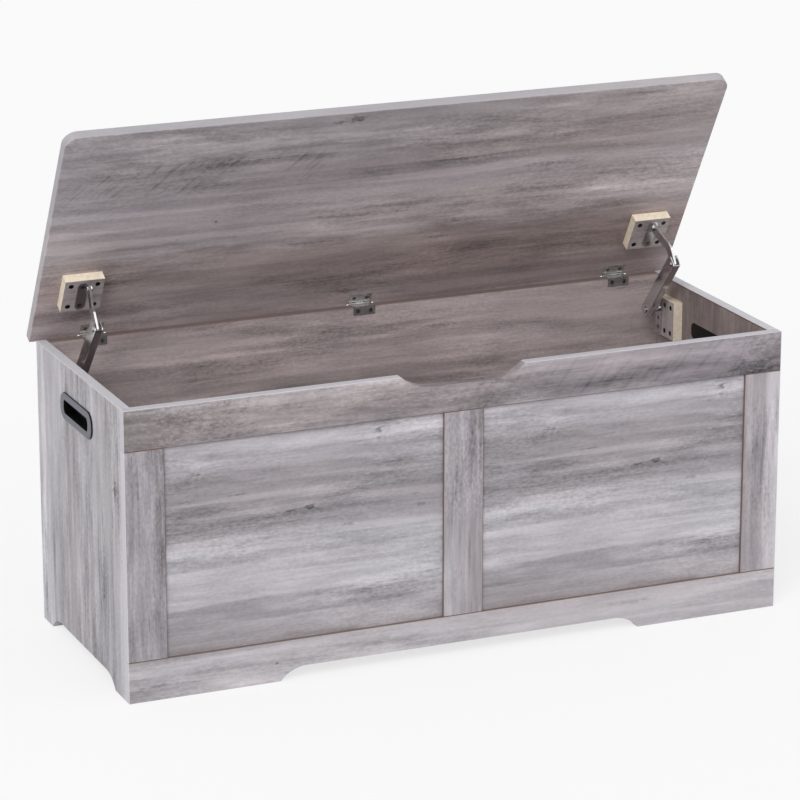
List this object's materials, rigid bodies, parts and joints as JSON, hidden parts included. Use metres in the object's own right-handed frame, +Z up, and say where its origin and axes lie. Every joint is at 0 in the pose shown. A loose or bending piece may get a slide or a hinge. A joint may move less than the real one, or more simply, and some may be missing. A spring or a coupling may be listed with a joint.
{
  "type": "toy box",
  "caption": "Lift-top wooden toy chest with a framed front, finger notch, arched feet, side handle cups and a hinged lid held open by folding safety stays.",
  "frame": {"origin": "on the floor, under the middle of the box that bounds the chest with its lid at rest, 60 degrees open", "axes": "+X along the front to the right as seen from the front, +Y from the front to the back, +Z up"},
  "size_m": [1.007, 0.393, 0.7532],
  "materials": {
    "weathered_board": "matt grey weathered-wood laminate",
    "raw_board": "raw sawn board edges under a grey laminate face",
    "handle_plastic": "fine-textured moulded plastic",
    "stay_metal": "nickel-plated pressed steel",
    "hinge_metal": "nickel-plated steel",
    "black_screw": "black phosphated steel",
    "dowel_wood": "plain fluted beech",
    "fitting_zinc": "die-cast zinc",
    "washer_nylon": "natural nylon"
  },
  "bodies": {
    "case": {"back_panel": "weathered_board", "bottom_panel": "weathered_board", "cam_bolts": "fitting_zinc", "cam_locks": "fitting_zinc", "case_dowels": "dowel_wood", "centre_hinge_body_leaf": "hinge_metal", "frame_dowels": "dowel_wood", "front_bottom_rail": "weathered_board", "front_centre_stile": "weathered_board", "front_left_field": "weathered_board", "front_left_stile": "weathered_board", "front_right_field": "weathered_board", "front_right_stile": "weathered_board", "front_top_rail": "weathered_board", "hinge_body_screws": "hinge_metal", "hinge_pins": "hinge_metal", "left_handle_cup": "handle_plastic", "left_hinge_body_leaf": "hinge_metal", "left_side_block": "raw_board", "left_side_panel": "weathered_board", "left_stay_base": "stay_metal", "left_stay_stud": "stay_metal", "right_handle_cup": "handle_plastic", "right_hinge_body_leaf": "hinge_metal", "right_side_block": "raw_board", "right_side_panel": "weathered_board", "right_stay_base": "stay_metal", "right_stay_stud": "stay_metal", "side_block_screws": "black_screw", "stay_base_screws": "hinge_metal"},
    "lid": {"lid_board": "weathered_board", "left_lid_block": "raw_board", "right_lid_block": "raw_board", "lid_block_screws": "black_screw", "left_lid_bracket": "stay_metal", "right_lid_bracket": "stay_metal", "lid_bracket_screws": "hinge_metal", "left_hinge_lid_leaf": "hinge_metal", "centre_hinge_lid_leaf": "hinge_metal", "right_hinge_lid_leaf": "hinge_metal", "hinge_lid_screws": "hinge_metal", "lid_pivot_rivets": "stay_metal"},
    "left_channel": {"left_stay_channel": "stay_metal", "left_elbow_rivet": "stay_metal", "left_elbow_washers": "washer_nylon"},
    "left_link": {"left_stay_link": "stay_metal"},
    "right_channel": {"right_stay_channel": "stay_metal", "right_elbow_rivet": "stay_metal", "right_elbow_washers": "washer_nylon"},
    "right_link": {"right_stay_link": "stay_metal"}
  },
  "joints": [
    {"name": "lid_hinge", "type": "hinge", "parent": "case", "child": "lid", "pos_m": [0, 0.17852, 0.4155], "axis": [-1, 0, 0], "range_deg": [-60.3, 35]},
    {"name": "left_channel_pivot", "type": "hinge", "parent": "case", "child": "left_channel", "pos_m": [-0.448, 0.12652, 0.3715], "axis": [-1, 0, 0], "range_deg": [-60.3, 35]},
    {"name": "left_link_pivot", "type": "hinge", "parent": "lid", "child": "left_link", "pos_m": [-0.441, 0.10138, 0.50491], "axis": [-1, 0, 0], "range_deg": [-35, 60.3]},
    {"name": "right_channel_pivot", "type": "hinge", "parent": "case", "child": "right_channel", "pos_m": [0.448, 0.12652, 0.3715], "axis": [-1, 0, 0], "range_deg": [-60.3, 35]},
    {"name": "right_link_pivot", "type": "hinge", "parent": "lid", "child": "right_link", "pos_m": [0.441, 0.10138, 0.50491], "axis": [-1, 0, 0], "range_deg": [-35, 60.3]}
  ],
  "couplings": [
    {"joint": "left_channel_pivot", "follows": "lid_hinge", "ratio": 1},
    {"joint": "left_link_pivot", "follows": "lid_hinge", "ratio": -1},
    {"joint": "right_channel_pivot", "follows": "lid_hinge", "ratio": 1},
    {"joint": "right_link_pivot", "follows": "lid_hinge", "ratio": -1}
  ]
}
